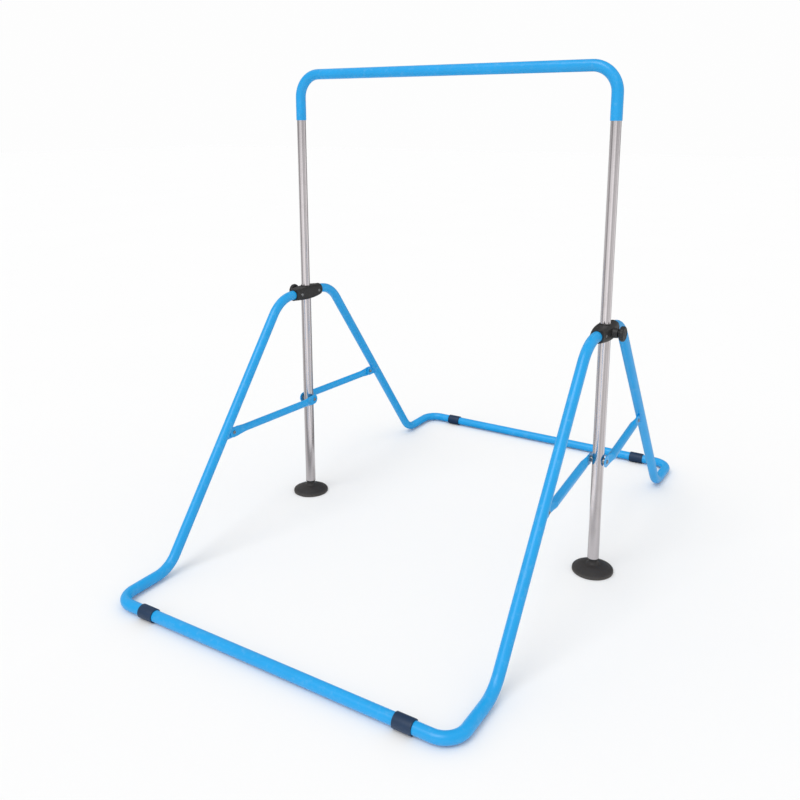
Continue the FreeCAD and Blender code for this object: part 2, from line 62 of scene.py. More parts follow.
# ---- places and sizes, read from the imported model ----

def middle(node):
    low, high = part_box(node)
    return (low + high) / 2


def size(node):
    low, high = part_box(node)
    return high - low


UPRIGHT_X = middle("right_outer_upright").x
CLAMP_HEIGHT = middle("right_knob").z
BRACE_HEIGHT = middle("weld_bosses").z
OUTER_RADIUS = size("right_outer_upright").x / 2
LEG_RADIUS = size("front_floor_tube").z / 2


def linear_from_hex(text):
    """Linear RGB from an sRGB hex colour such as 2EA3E6."""
    channels = [int(text[i:i + 2], 16) / 255 for i in (0, 2, 4)]
    return [c / 12.92 if c <= 0.04045 else ((c + 0.055) / 1.055) ** 2.4 for c in channels]


# ---- settings ----

def colour(label, text, description):
    return bpy.props.FloatVectorProperty(
        name=label, description=description, subtype="COLOR", size=3, min=0, max=1,
        default=linear_from_hex(text))


def length(label, millimetres, description):
    return bpy.props.FloatProperty(
        name=label, description=description, subtype="DISTANCE", unit="LENGTH", min=0,
        precision=5, default=millimetres * MM)


def share(label, value, description):
    return bpy.props.FloatProperty(
        name=label, description=description, subtype="FACTOR", min=0, max=1, default=value)


def count(label, value, description):
    return bpy.props.IntProperty(name=label, description=description, min=1, default=value)


class KipbarFinishes(bpy.types.PropertyGroup):
    """Colours and gloss of the bar's finishes"""
    powder: colour("Powder coat", "00A0E5", "Blue of the grip bar and the floor frames")
    powder_roughness: share("Powder coat roughness", 0.34, "Lower is glossier")
    plating: colour("Plating", "D6D0D2", "Tint of the plated uprights")
    plating_roughness: share("Plating roughness", 0.16, "Lower is more mirror-like")
    block: colour("Block nylon", "1D1C1C", "Black of the clamp blocks")
    knob: colour("Knob nylon", "181718", "Black of the clamp knobs")
    guide: colour("Guide nylon", "1B1B1C", "Black of the guide bushes and plugs")
    foot: colour("Foot rubber", "2A2727", "Charcoal of the feet")
    sleeve: colour("Sleeve rubber", "002A4C", "Dark navy of the sleeves over the floor frame joints")
    zinc: colour("Zinc plate", "989B9E", "Tint of the fasteners")
    brass: colour("Brass", "C9A25B", "Tint of the threaded inserts and pads")


class KipbarFittings(bpy.types.PropertyGroup):
    """Sizes of the moulded and turned fittings"""
    knob_lobes: count("Knob lobes", 12, "Finger grooves round a clamp knob")
    knob_lobe_depth: length("Knob groove depth", 1.1, "How far a finger groove goes in")
    knob_turn_steps: count("Knob steps round", 192, "Faces round a knob")
    thread_pitch: length("Clamp thread pitch", 1.5, "Advance of the clamp screw in one turn")
    bolt_pitch: length("Bolt thread pitch", 1.0, "Advance of an M6 thread in one turn")
    socket_width: length("Hex socket", 4.0, "Across the flats of the hex socket in a bolt head")
    socket_depth: length("Hex socket depth", 2.0, "Depth of the hex socket in a bolt head")
    nut_chamfer: length("Nut chamfer", 0.8, "Height of the chamfer at a nut's outer corners")
    weld_ripple: length("Weld ripple spacing", 1.6, "Distance between the ripples of a weld bead")
    weld_width: length("Weld bead width", 3.4, "Width of a weld bead")
    foot_grooves: count("Foot treads", 3, "Rings on the underside of a foot")
    foot_studs: count("Foot studs", 36, "Small grip studs in the hollow under a foot")


class KipbarStage(bpy.types.PropertyGroup):
    """Camera, floor and light"""
    azimuth: bpy.props.FloatProperty(
        name="Azimuth", description="Direction the camera looks in, turned from +Y",
        subtype="ANGLE", unit="ROTATION", default=math.radians(31.48))
    tilt: bpy.props.FloatProperty(
        name="Tilt", description="How far the camera looks down",
        subtype="ANGLE", unit="ROTATION", default=math.radians(12.55))
    camera_place: bpy.props.FloatVectorProperty(
        name="Camera", description="Where the camera stands", subtype="TRANSLATION",
        unit="LENGTH", size=3, default=(1.293, -2.327, 1.373))
    focal_length: bpy.props.FloatProperty(
        name="Focal length", description="Focal length on a 36 mm sensor, in millimetres",
        subtype="DISTANCE_CAMERA", default=37.8)
    shift_x: bpy.props.FloatProperty(
        name="Shift X", description="Framing shift, in frame widths", default=-0.0068)
    shift_y: bpy.props.FloatProperty(
        name="Shift Y", description="Framing shift, in frame widths", default=-0.119)
    floor: colour("Floor", "F4F4F4", "Pale studio floor")
    floor_size: length("Floor size", 60000, "Side of the square studio floor")
    key_power: bpy.props.FloatProperty(
        name="Key light", description="Strength of the large soft key light", min=0, default=1.0)
    world_strength: bpy.props.FloatProperty(
        name="Room light", description="Strength of the even light all round", min=0, default=0.84)


# ---- nodes ----

def result(node):
    """The output of a node that is in use."""
    return next(output for output in node.outputs if output.enabled)


def add_node(tree, kind, inputs=None, **properties):
    """Adds a node. An input goes by its name or number, and is a value, or a node or socket to link."""
    node = tree.nodes.new(kind)
    for name, value in properties.items():
        setattr(node, name, value)
    for key, value in (inputs or {}).items():
        live = [socket for socket in node.inputs if socket.enabled]
        socket = live[key] if isinstance(key, int) else next(s for s in live if s.name == key)
        if isinstance(value, bpy.types.Node):
            value = result(value)
        if isinstance(value, bpy.types.NodeSocket):
            tree.links.new(value, socket)
        elif socket.type == "RGBA" and len(value) == 3:
            socket.default_value = (*value, 1)
        else:
            socket.default_value = value
    return node


def grain(tree, place, millimetres, detail=3.0, rough=0.5, stretch=(1, 1, 1)):
    """A pattern of patches about that many millimetres across, drawn out along an axis by stretch."""
    scale = [1 / (millimetres * MM * s) for s in stretch]
    mapped = add_node(tree, "ShaderNodeMapping", {"Vector": place, "Scale": scale})
    return add_node(tree, "ShaderNodeTexNoise",
                    {"Vector": mapped, "Scale": 1.0, "Detail": detail, "Roughness": rough})


def shade(base, factor):
    """A colour made lighter or darker by a factor."""
    return [min(1.0, c * factor) for c in base]


# ---- materials ----

WORN_FROM, WORN_FULL = 0.55, 0.75      # where in the worn pattern the wear starts and is full
RELIEF_STRENGTH = 0.6


def surface_of(name, base, roughness, metallic=0.0, **shader):
    """A new material, its tree, its shader, and the object coordinates that its patterns read."""
    made = bpy.data.materials.new(name)
    made.use_nodes = True
    made.diffuse_color = (*base, 1)
    tree = made.node_tree
    tree.nodes.clear()
    settings = {"Base Color": base, "Roughness": roughness, "Metallic": metallic, **shader}
    surface = add_node(tree, "ShaderNodeBsdfPrincipled", settings)
    add_node(tree, "ShaderNodeOutputMaterial", {"Surface": surface})
    return made, tree, surface, add_node(tree, "ShaderNodeTexCoord").outputs["Object"]


def detail_surface(tree, surface, tones, tone_pattern, worn_colour, worn_pattern, worn_share,
                   gloss, height, depth):
    """Colour between two tones by one pattern, worn by another, roughness from gloss at rest to
    gloss where worn, and a relief of that depth in millimetres."""
    tone = add_node(tree, "ShaderNodeMix", {"Factor": tone_pattern, "A": tones[0], "B": tones[1]},
                    data_type="RGBA")
    worn = add_node(tree, "ShaderNodeMapRange",
                    {"Value": worn_pattern, "From Min": WORN_FROM, "From Max": WORN_FULL})
    amount = add_node(tree, "ShaderNodeMath", {0: worn, 1: worn_share}, operation="MULTIPLY")
    colour_now = add_node(tree, "ShaderNodeMix", {"Factor": amount, "A": tone, "B": worn_colour},
                          data_type="RGBA")
    rough = add_node(tree, "ShaderNodeMapRange",
                     {"Value": worn, "To Min": gloss[0], "To Max": gloss[1]})
    relief = add_node(tree, "ShaderNodeBump",
                      {"Height": height, "Distance": depth * MM, "Strength": RELIEF_STRENGTH})
    for socket, node in (("Base Color", colour_now), ("Roughness", rough), ("Normal", relief)):
        tree.links.new(result(node), surface.inputs[socket])
    return colour_now


def powder_coated_steel(look):
    """Polyester powder on steel: a satin gloss film with a soft orange peel, slightly uneven in
    depth of colour, and dulled in faint rubbed patches where hands and mats touch it."""
    base = list(look.powder)
    made, tree, surface, place = surface_of(
        "powder_coated_steel_blue", base, look.powder_roughness,
        **{"IOR": 1.5, "Coat Weight": 0.12, "Coat Roughness": 0.2})
    # orange peel is 1 to 2 mm across; it is drawn at 2.4 mm so that it shows
    detail_surface(tree, surface, (shade(base, 0.92), shade(base, 1.08)), grain(tree, place, 70, 2),
                   linear_from_hex("A6D2EE"), grain(tree, place, 18, 6, 0.62), 0.14,
                   (look.powder_roughness, look.powder_roughness + 0.18),
                   grain(tree, place, 2.4, 1), 0.05)
    return made


def plated_steel(look):
    """Bright chromium plate on drawn tube: near mirror, with faint lengthwise drawing lines from
    the polished steel under it and slightly cloudy patches from wiping."""
    base = list(look.plating)
    made, tree, surface, place = surface_of(
        "chrome_plated_steel", base, look.plating_roughness, metallic=1.0)
    # drawing lines are about 0.1 mm wide; they are drawn at 1.2 mm so that they show
    lines = grain(tree, place, 1.2, 2, stretch=(1, 1, 160))
    detail_surface(tree, surface, (shade(base, 0.92), shade(base, 1.05)), lines,
                   linear_from_hex("B9B0AE"), grain(tree, place, 26, 5, 0.6, (1, 1, 3)), 0.35,
                   (look.plating_roughness, look.plating_roughness + 0.12), lines, 0.02)
    return made


def moulded(name, base, roughness, grain_size, grain_depth, rubbed_colour, rubbed_share):
    """Injection moulded surface: spark eroded grain from the mould, rubbed paler and glossier in
    small patches, with slightly uneven colour where the melt met."""
    made, tree, surface, place = surface_of(name, base, roughness, **{"IOR": 1.53})
    detail_surface(tree, surface, (shade(base, 0.80), shade(base, 1.25)), grain(tree, place, 34),
                   linear_from_hex(rubbed_colour), grain(tree, place, 7, 7, 0.65), rubbed_share,
                   (roughness + 0.04, roughness - 0.1),
                   grain(tree, place, grain_size, 4, 0.7), grain_depth)
    return made


def moulded_nylon_blocks(look):
    """Glass filled nylon: satin black with a fine grain, 0.8 mm as drawn."""
    return moulded("moulded_nylon_block", list(look.block), 0.46, 0.8, 0.10, "6A6A6C", 0.22)


def moulded_nylon_knobs(look):
    """Nylon with a finer grain, rubbed glossy by hands."""
    return moulded("moulded_nylon_knob", list(look.knob), 0.40, 0.7, 0.07, "5C5C60", 0.20)


def moulded_acetal(look):
    """Smooth moulded acetal: slippery, nearly glossy black."""
    return moulded("moulded_acetal_guide", list(look.guide), 0.30, 1.6, 0.03, "505052", 0.15)


def moulded_rubber_feet(look):
    """Moulded rubber: matt charcoal with a coarse grain, 1.1 mm as drawn, and pale dust near the
    floor."""
    base = list(look.foot)
    made, tree, surface, place = surface_of("moulded_rubber_foot", base, 0.66, **{"IOR": 1.52})
    clean = detail_surface(tree, surface, (shade(base, 0.8), shade(base, 1.2)), grain(tree, place, 30),
                           linear_from_hex("5C5856"), grain(tree, place, 6, 7, 0.65), 0.2,
                           (0.56, 0.44), grain(tree, place, 1.1, 4, 0.7), 0.12)
    height = add_node(tree, "ShaderNodeSeparateXYZ", {"Vector": place}).outputs["Z"]
    low = add_node(tree, "ShaderNodeMapRange",
                   {"Value": height, "From Max": 0.012, "To Min": 0.45, "To Max": 0.0})
    dust = add_node(tree, "ShaderNodeMath", {0: low, 1: grain(tree, place, 5, 5)}, operation="MULTIPLY")
    dusty = add_node(tree, "ShaderNodeMix",
                     {"Factor": dust, "A": clean, "B": linear_from_hex("8C8780")}, data_type="RGBA")
    tree.links.new(result(dusty), surface.inputs["Base Color"])
    return made


def moulded_rubber_sleeves(look):
    """Soft vinyl rubber: dark navy, satin, with a shallow grain."""
    return moulded("moulded_rubber_sleeve", list(look.sleeve), 0.48, 1.2, 0.08, "1C4A70", 0.2)


def zinc_plated_steel(look):
    """Bright zinc plate on steel: grey metal, softly mottled and faintly yellow where the
    passivation is thicker."""
    base = list(look.zinc)
    made, tree, surface, place = surface_of("zinc_plated_steel", base, 0.34, metallic=1.0)
    detail_surface(tree, surface, (shade(base, 0.8), shade(base, 1.1)), grain(tree, place, 2.2, 5, 0.6),
                   linear_from_hex("C9C6B4"), grain(tree, place, 3.5, 4), 0.5,
                   (0.28, 0.44), grain(tree, place, 0.6, 2), 0.02)
    return made


def turned_brass(look):
    """Turned brass: warm metal with fine rings from the lathe, 0.5 mm apart as drawn."""
    base = list(look.brass)
    made, tree, surface, place = surface_of("turned_brass", base, 0.28, metallic=1.0)
    rings = grain(tree, place, 0.5, 1, stretch=(1, 40, 40))
    detail_surface(tree, surface, (shade(base, 0.85), shade(base, 1.1)), grain(tree, place, 6),
                   linear_from_hex("8F7446"), grain(tree, place, 3, 5), 0.3, (0.24, 0.4), rings, 0.03)
    return made


FINISHES = {
    "blue_tube": powder_coated_steel, "chrome_tube": plated_steel, "block_nylon": moulded_nylon_blocks,
    "knob_nylon": moulded_nylon_knobs, "guide_nylon": moulded_acetal, "foot_rubber": moulded_rubber_feet,
    "sleeve_rubber": moulded_rubber_sleeves, "zinc_fastener": zinc_plated_steel,
    "insert_brass": turned_brass,
}


def finish(slot):
    """The material of one of the record's slots, made once."""
    if slot not in BUILT:
        BUILT[slot] = FINISHES[slot](bpy.context.scene.kipbar_finishes)
    return BUILT[slot]


# ---- geometry trees ----

GROOVE_POWER = 2.4                     # narrows the finger grooves of a knob
THREAD_STEPS = 24                      # steps in one turn of a thread
BEAD_STEP, BEAD_SWELL, BEAD_SIDES = 0.25, 0.12, 10     # of a ripple, of the width, round the bead


def new_tree(name, inputs):
    """A geometry tree with named inputs, and the sockets that give them."""
    tree = bpy.data.node_groups.new(name, "GeometryNodeTree")
    tree.interface.new_socket("Geometry", in_out="OUTPUT", socket_type="NodeSocketGeometry")
    for label, kind in inputs.items():
        tree.interface.new_socket(label, in_out="INPUT", socket_type="NodeSocket" + kind)
    return tree, add_node(tree, "NodeGroupInput").outputs


def end_tree(tree, given, geometry):
    """Creases the sharp edges, realises the instances, sets the material and ends the tree."""
    angle = add_node(tree, "GeometryNodeInputMeshEdgeAngle").outputs["Unsigned Angle"]
    sharp = add_node(tree, "FunctionNodeCompare", {"A": angle, "B": SHARP_ANGLE},
                     operation="GREATER_THAN")
    real = add_node(tree, "GeometryNodeRealizeInstances", {"Geometry": geometry})
    smooth = add_node(tree, "GeometryNodeSetShadeSmooth", {"Geometry": real, "Shade Smooth": True})
    creased = add_node(tree, "GeometryNodeSetShadeSmooth",
                       {"Geometry": smooth, "Selection": sharp, "Shade Smooth": False}, domain="EDGE")
    painted = add_node(tree, "GeometryNodeSetMaterial",
                       {"Geometry": creased, "Material": given["Material"]})
    add_node(tree, "NodeGroupOutput", {"Geometry": painted})
    return tree


def turning_tree():
    """Turns a profile about Z. A point of the profile is (radius, 0, along); where its facet is 1
    the section is a hexagon, and where its lobe is 1 the finger grooves cut in at full depth."""
    tree, given = new_tree("turned_profile", {
        "Profile": "Object", "Profile Points": "Int", "Steps Round": "Int", "Lobes": "Int",
        "Lobe Depth": "Float", "Material": "Material"})
    columns = add_node(tree, "ShaderNodeMath", {0: given["Steps Round"], 1: 1.0}, operation="ADD")
    grid = add_node(tree, "GeometryNodeMeshGrid", {
        "Size X": 1.0, "Size Y": 1.0, "Vertices X": columns, "Vertices Y": given["Profile Points"]})
    spot = add_node(tree, "ShaderNodeSeparateXYZ", {0: add_node(tree, "GeometryNodeInputPosition")})
    turn = add_node(tree, "ShaderNodeMath", {0: spot.outputs["X"], 1: 2 * math.pi}, operation="MULTIPLY")
    last = add_node(tree, "ShaderNodeMath", {0: given["Profile Points"], 1: 1.0}, operation="SUBTRACT")
    share_along = add_node(tree, "ShaderNodeMath", {0: spot.outputs["Y"], 1: 0.5}, operation="ADD")
    row = add_node(tree, "ShaderNodeMath", {0: share_along, 1: last}, operation="MULTIPLY")
    row = add_node(tree, "ShaderNodeMath", {0: row}, operation="ROUND")
    profile = add_node(tree, "GeometryNodeObjectInfo", {"Object": given["Profile"]}).outputs["Geometry"]
    read = {}
    for name in ("facet", "lobe"):
        value = add_node(tree, "GeometryNodeInputNamedAttribute", {"Name": name}, data_type="FLOAT")
        read[name] = add_node(tree, "GeometryNodeSampleIndex",
                              {"Geometry": profile, "Value": value, "Index": row}, data_type="FLOAT")
    point = add_node(tree, "GeometryNodeSampleIndex", {
        "Geometry": profile, "Value": add_node(tree, "GeometryNodeInputPosition"), "Index": row},
        data_type="FLOAT_VECTOR")
    point = add_node(tree, "ShaderNodeSeparateXYZ", {0: point})
    # hexagon: the half width across flats over the cosine of the angle from the nearest flat
    sixth = add_node(tree, "ShaderNodeMath", {0: turn, 1: math.pi / 3}, operation="FLOORED_MODULO")
    sixth = add_node(tree, "ShaderNodeMath", {0: sixth, 1: math.pi / 6}, operation="SUBTRACT")
    sixth = add_node(tree, "ShaderNodeMath", {0: sixth}, operation="COSINE")
    corner = add_node(tree, "ShaderNodeMath", {0: 1.0, 1: sixth}, operation="DIVIDE")
    reach = add_node(tree, "ShaderNodeMix", {"Factor": read["facet"], "A": 1.0, "B": corner},
                     data_type="FLOAT")
    radius = add_node(tree, "ShaderNodeMath", {0: point.outputs["X"], 1: reach}, operation="MULTIPLY")
    # grooves: a raised cosine for each lobe, narrowed by a power
    wave = add_node(tree, "ShaderNodeMath", {0: turn, 1: given["Lobes"]}, operation="MULTIPLY")
    wave = add_node(tree, "ShaderNodeMath", {0: wave}, operation="COSINE")
    wave = add_node(tree, "ShaderNodeMath", {0: wave, 1: 0.5, 2: 0.5}, operation="MULTIPLY_ADD")
    wave = add_node(tree, "ShaderNodeMath", {0: wave, 1: GROOVE_POWER}, operation="POWER")
    depth = add_node(tree, "ShaderNodeMath", {0: wave, 1: given["Lobe Depth"]}, operation="MULTIPLY")
    depth = add_node(tree, "ShaderNodeMath", {0: depth, 1: read["lobe"]}, operation="MULTIPLY")
    radius = add_node(tree, "ShaderNodeMath", {0: radius, 1: depth}, operation="SUBTRACT")
    place = {"Z": point.outputs["Z"]}
    for axis, way in (("X", "COSINE"), ("Y", "SINE")):
        part = add_node(tree, "ShaderNodeMath", {0: turn}, operation=way)
        place[axis] = add_node(tree, "ShaderNodeMath", {0: radius, 1: part}, operation="MULTIPLY")
    shaped = add_node(tree, "GeometryNodeSetPosition",
                      {"Geometry": grid, "Position": add_node(tree, "ShaderNodeCombineXYZ", place)})
    closed = add_node(tree, "GeometryNodeMergeByDistance", {"Geometry": shaped, "Distance": WELD_GAP})
    return end_tree(tree, given, closed)


def thread_tree():
    """A helical thread ridge of triangular section round Z, from 0 up to its length."""
    tree, given = new_tree("helical_thread", {
        "Crest Radius": "Float", "Pitch": "Float", "Length": "Float", "Material": "Material"})
    turns = add_node(tree, "ShaderNodeMath", {0: given["Length"], 1: given["Pitch"]}, operation="DIVIDE")
    half = add_node(tree, "ShaderNodeMath", {0: given["Pitch"], 1: 0.5}, operation="MULTIPLY")
    line = add_node(tree, "ShaderNodeMath", {0: given["Crest Radius"], 1: half}, operation="SUBTRACT")
    helix = add_node(tree, "GeometryNodeCurveSpiral", {
        "Resolution": THREAD_STEPS, "Rotations": turns, "Start Radius": line, "End Radius": line,
        "Height": given["Length"]})
    section = add_node(tree, "GeometryNodeCurvePrimitiveCircle", {"Resolution": 4, "Radius": half})
    ridge = add_node(tree, "GeometryNodeCurveToMesh",
                     {"Curve": helix, "Profile Curve": section, "Fill Caps": True})
    return end_tree(tree, given, ridge)


def bead_tree():
    """A weld bead along a path: a half sunk round bead whose width swells at every ripple."""
    tree, given = new_tree("weld_bead", {
        "Path": "Object", "Ripple Spacing": "Float", "Bead Width": "Float", "Material": "Material"})
    path = add_node(tree, "GeometryNodeObjectInfo", {"Object": given["Path"]}).outputs["Geometry"]
    line = add_node(tree, "GeometryNodeMeshToCurve", {"Mesh": path})
    step = add_node(tree, "ShaderNodeMath", {0: given["Ripple Spacing"], 1: BEAD_STEP},
                    operation="MULTIPLY")
    line = add_node(tree, "GeometryNodeResampleCurve", {"Curve": line, "Length": step}, mode="LENGTH")
    gone = add_node(tree, "GeometryNodeSplineParameter").outputs["Length"]
    ripple = add_node(tree, "ShaderNodeMath", {0: gone, 1: given["Ripple Spacing"]}, operation="DIVIDE")
    ripple = add_node(tree, "ShaderNodeMath", {0: ripple, 1: 2 * math.pi}, operation="MULTIPLY")
    ripple = add_node(tree, "ShaderNodeMath", {0: ripple}, operation="SINE")
    swell = add_node(tree, "ShaderNodeMath", {0: ripple, 1: BEAD_SWELL, 2: 1 - BEAD_SWELL},
                     operation="MULTIPLY_ADD")
    half = add_node(tree, "ShaderNodeMath", {0: given["Bead Width"], 1: 0.5}, operation="MULTIPLY")
    section = add_node(tree, "GeometryNodeCurvePrimitiveCircle",
                       {"Resolution": BEAD_SIDES, "Radius": half})
    bead = add_node(tree, "GeometryNodeCurveToMesh", {
        "Curve": line, "Profile Curve": section, "Scale": swell, "Fill Caps": True})
    return end_tree(tree, given, bead)


def placing_tree():
    """A copy of one piece at every point of another object, turned by the point's turn attribute."""
    tree, given = new_tree("placed_pieces",
                           {"Piece": "Object", "Places": "Object", "Material": "Material"})
    points = add_node(tree, "GeometryNodeObjectInfo", {"Object": given["Places"]}).outputs["Geometry"]
    piece = add_node(tree, "GeometryNodeObjectInfo", {"Object": given["Piece"]}).outputs["Geometry"]
    turn = add_node(tree, "GeometryNodeInputNamedAttribute", {"Name": "turn"}, data_type="FLOAT_VECTOR")
    rotation = add_node(tree, "FunctionNodeEulerToRotation", {0: turn})
    copies = add_node(tree, "GeometryNodeInstanceOnPoints",
                      {"Points": points, "Instance": piece, "Rotation": rotation})
    return end_tree(tree, given, copies)


TREES = {"turn": turning_tree, "thread": thread_tree, "bead": bead_tree, "place": placing_tree}
SHARP_ANGLE = math.radians(38)
WELD_GAP = 0.002 * MM


def grown(name, kind, slot, **inputs):
    """A plain mesh object that one of the trees makes from its named inputs."""
    if kind not in BUILT:
        BUILT[kind] = TREES[kind]()
    tree = BUILT[kind]
    made = bpy.data.objects.new(name, bpy.data.meshes.new(name))
    bpy.context.scene.collection.objects.link(made)
    modifier = made.modifiers.new(kind, "NODES")
    modifier.node_group = tree
    values = {key.replace("_", " ").title(): value for key, value in inputs.items()}
    values["Material"] = finish(slot)
    for item in tree.interface.items_tree:
        if item.in_out == "INPUT":
            modifier[item.identifier] = values[item.name]
    depsgraph = bpy.context.evaluated_depsgraph_get()
    mesh = bpy.data.meshes.new_from_object(made.evaluated_get(depsgraph))
    made.modifiers.clear()
    made.data = mesh
    mesh.name = name
    mesh.materials.clear()
    mesh.materials.append(finish(slot))
    mesh.polygons.foreach_set("material_index", [0] * len(mesh.polygons))
    for attribute in ("facet", "lobe", "turn"):
        if attribute in mesh.attributes:
            mesh.attributes.remove(mesh.attributes[attribute])
    if not mesh.polygons:
        raise RuntimeError(f"{name} came out empty")
    return made


def points_object(name, points, edges=(), **attributes):
    """A helper object with a vertex at each point, and values on the vertices."""
    mesh = bpy.data.meshes.new(name)
    mesh.from_pydata([tuple(point) for point in points], list(edges), [])
    for key, values in attributes.items():
        kind = "FLOAT_VECTOR" if key == "turn" else "FLOAT"
        attribute = mesh.attributes.new(key, kind, "POINT")
        for i, value in enumerate(values):
            if key == "turn":
                attribute.data[i].vector = value
            else:
                attribute.data[i].value = value
    helper = bpy.data.objects.new(name, mesh)
    bpy.context.scene.collection.objects.link(helper)
    return helper


def set_outwards(mesh):
    """Closes the seams and points every face outwards."""
    work = bmesh.new()
    work.from_mesh(mesh)
    bmesh.ops.remove_doubles(work, verts=work.verts, dist=WELD_GAP)
    bmesh.ops.recalc_face_normals(work, faces=work.faces)
    work.to_mesh(mesh)
    work.free()


def merged(name, pieces):
    """One object from several, with its faces outwards."""
    work = bmesh.new()
    for piece in pieces:
        work.from_mesh(piece.data)
    mesh = bpy.data.meshes.new(name)
    work.to_mesh(mesh)
    work.free()
    mesh.materials.append(pieces[0].data.materials[0])
    for piece in pieces:
        bpy.data.objects.remove(piece)
    made = bpy.data.objects.new(name, mesh)
    bpy.context.scene.collection.objects.link(made)
    set_outwards(mesh)
    return made


# ---- profiles, in millimetres ----

def rounded(corners, closed=False, steps=5):
    """Points (radius, along, facet, lobe) of a profile from its corners. A corner is (radius, along)
    and may add a rounding radius, facet and lobe."""
    full = [(*corner, *(0, 0, 0)[len(corner) - 2:]) for corner in corners]
    points = []
    for i, (radius, along, rounding, facet, lobe) in enumerate(full):
        here = Vector((radius, along))
        if not rounding or (not closed and i in (0, len(full) - 1)):
            points.append((radius, along, facet, lobe))
            continue
        before = (Vector(full[i - 1][:2]) - here).normalized()
        after = (Vector(full[(i + 1) % len(full)][:2]) - here).normalized()
        half = before.angle(after) / 2
        centre = here + (before + after).normalized() * (rounding / math.sin(half))
        start = here + before * (rounding / math.tan(half)) - centre
        end = here + after * (rounding / math.tan(half)) - centre
        for step in range(steps + 1):
            spoke = start.lerp(end, step / steps).normalized() * rounding
            points.append((*(centre + spoke), facet, lobe))
    if closed:
        points.append(points[0])
    return points


def bowed(start, middle_point, end, steps=8):
    """Points on a smooth bow from start through about the middle point to end."""
    start, through, end = Vector(start), Vector(middle_point), Vector(end)
    pull = through * 2 - (start + end) / 2
    return [tuple(start.lerp(pull, t).lerp(pull.lerp(end, t), t))
            for t in (step / steps for step in range(steps + 1))]


def turned(name, slot, points, steps_round=64, lobes=1, lobe_depth=0.0):
    """A turned piece on the Z axis from profile points (radius, along, facet, lobe)."""
    profile = points_object(name + "_profile", [(r * MM, 0, z * MM) for r, z, _, _ in points],
                            facet=[p[2] for p in points], lobe=[p[3] for p in points])
    made = grown(name, "turn", slot, profile=profile, profile_points=len(points),
                 steps_round=steps_round, lobes=lobes, lobe_depth=lobe_depth)
    bpy.data.objects.remove(profile)
    set_outwards(made.data)
    return made


def threaded(name, slot, crest_radius, pitch, start, end):
    """A thread ridge on the Z axis between two places along it, in metres."""
    made = grown(name, "thread", slot, crest_radius=crest_radius, pitch=pitch, length=end - start)
    made.data.transform(Matrix.Translation((0, 0, start)))
    return made


def placed(name, slot, piece, points, turns):
    """Copies of a piece at points, each turned; the piece itself is removed."""
    places = points_object(name + "_places", points, turn=turns)
    made = grown(name, "place", slot, piece=piece, places=places)
    bpy.data.objects.remove(places)
    bpy.data.objects.remove(piece)
    return made


def along_x(sign):
    """Turn that lays a piece's Z axis along X, outwards for +1 and inwards for -1."""
    return (0, sign * math.pi / 2, 0)


def lay_along_x(made, start_x, height, sign):
    """Puts a piece from the Z axis on a level line along X that starts at start_x."""
    turn = Matrix.Rotation(sign * math.pi / 2, 4, "Y")
    made.data.transform(Matrix.Translation((start_x, 0, height)) @ turn)
    return made


def stand_in(made, body, slot, *nodes):
    """A finished piece: it rides on its body and stands for the CAD nodes named."""
    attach(made, body)
    if nodes:
        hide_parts(*nodes)


def solids_of(node):
    """The boxes of a node's separate solids, as (low, high) corners."""
    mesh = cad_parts[node].data
    leader = {}

    def lead(key):
        while leader[key] != key:
            leader[key] = leader[leader[key]]
            key = leader[key]
        return key

    keys = [tuple(round(c, 5) for c in vertex.co) for vertex in mesh.vertices]
    for key in keys:
        leader.setdefault(key, key)
    for polygon in mesh.polygons:
        first = lead(keys[polygon.vertices[0]])
        for index in polygon.vertices[1:]:
            leader[lead(keys[index])] = first
    groups = {}
    for vertex, key in zip(mesh.vertices, keys):
        groups.setdefault(lead(key), []).append(vertex.co)
    return [(Vector([min(c[i] for c in group) for i in range(3)]),
             Vector([max(c[i] for c in group) for i in range(3)])) for group in groups.values()]


# ---- stage ----

# What the gloss of the piece mirrors: grey flags stood round it, darkest straight behind it.
FLAG_WAVES = ((1, 2.63, 0.24), (3, 5.96, 0.24), (7, 9.51, 0.14))   # times round, phase, weight
FLAG_DARKEST, FLAG_LIGHTEST = 0.18, 1.1
BACKDROP = 0.985
SUN_SPREAD = math.radians(35)
KEY_TURN, KEY_TILT = math.radians(-40), math.radians(55)       # from the camera's azimuth, downwards


def look_along(azimuth, tilt):
    """Rotation of a camera or light that looks along that direction, level in roll."""
    forward = Vector((-math.sin(azimuth) * math.cos(tilt), math.cos(azimuth) * math.cos(tilt),
                      -math.sin(tilt)))
    return forward.to_track_quat("-Z", "Y").to_euler()


def soft_sun(name, azimuth, tilt, strength):
    """A wide soft light from far off, so that it falls evenly on the whole floor."""
    data = bpy.data.lights.new(name, "SUN")
    data.energy, data.angle = strength, SUN_SPREAD
    light = bpy.data.objects.new(name, data)
    light.rotation_euler = look_along(azimuth, tilt)
    bpy.context.scene.collection.objects.link(light)
    return light


def flags(tree, way):
    """How light the room looks in a direction from the piece; the floor also takes these grey bands into
    its colour as a painted reflection.
    """
    way = add_node(tree, "ShaderNodeSeparateXYZ", {0: way})
    turn = add_node(tree, "ShaderNodeMath", {0: way.outputs["Y"], 1: way.outputs["X"]},
                    operation="ARCTAN2")
    total = None
    for times, phase, weight in FLAG_WAVES:
        wave = add_node(tree, "ShaderNodeMath", {0: turn, 1: times, 2: phase}, operation="MULTIPLY_ADD")
        wave = add_node(tree, "ShaderNodeMath", {0: wave}, operation="SINE")
        wave = add_node(tree, "ShaderNodeMath", {0: wave, 1: weight, 2: total or 0.0},
                        operation="MULTIPLY_ADD")
        total = wave
    return add_node(tree, "ShaderNodeMapRange", {
        "Value": total, "From Min": -0.5, "From Max": 0.5, "To Min": FLAG_DARKEST,
        "To Max": FLAG_LIGHTEST})


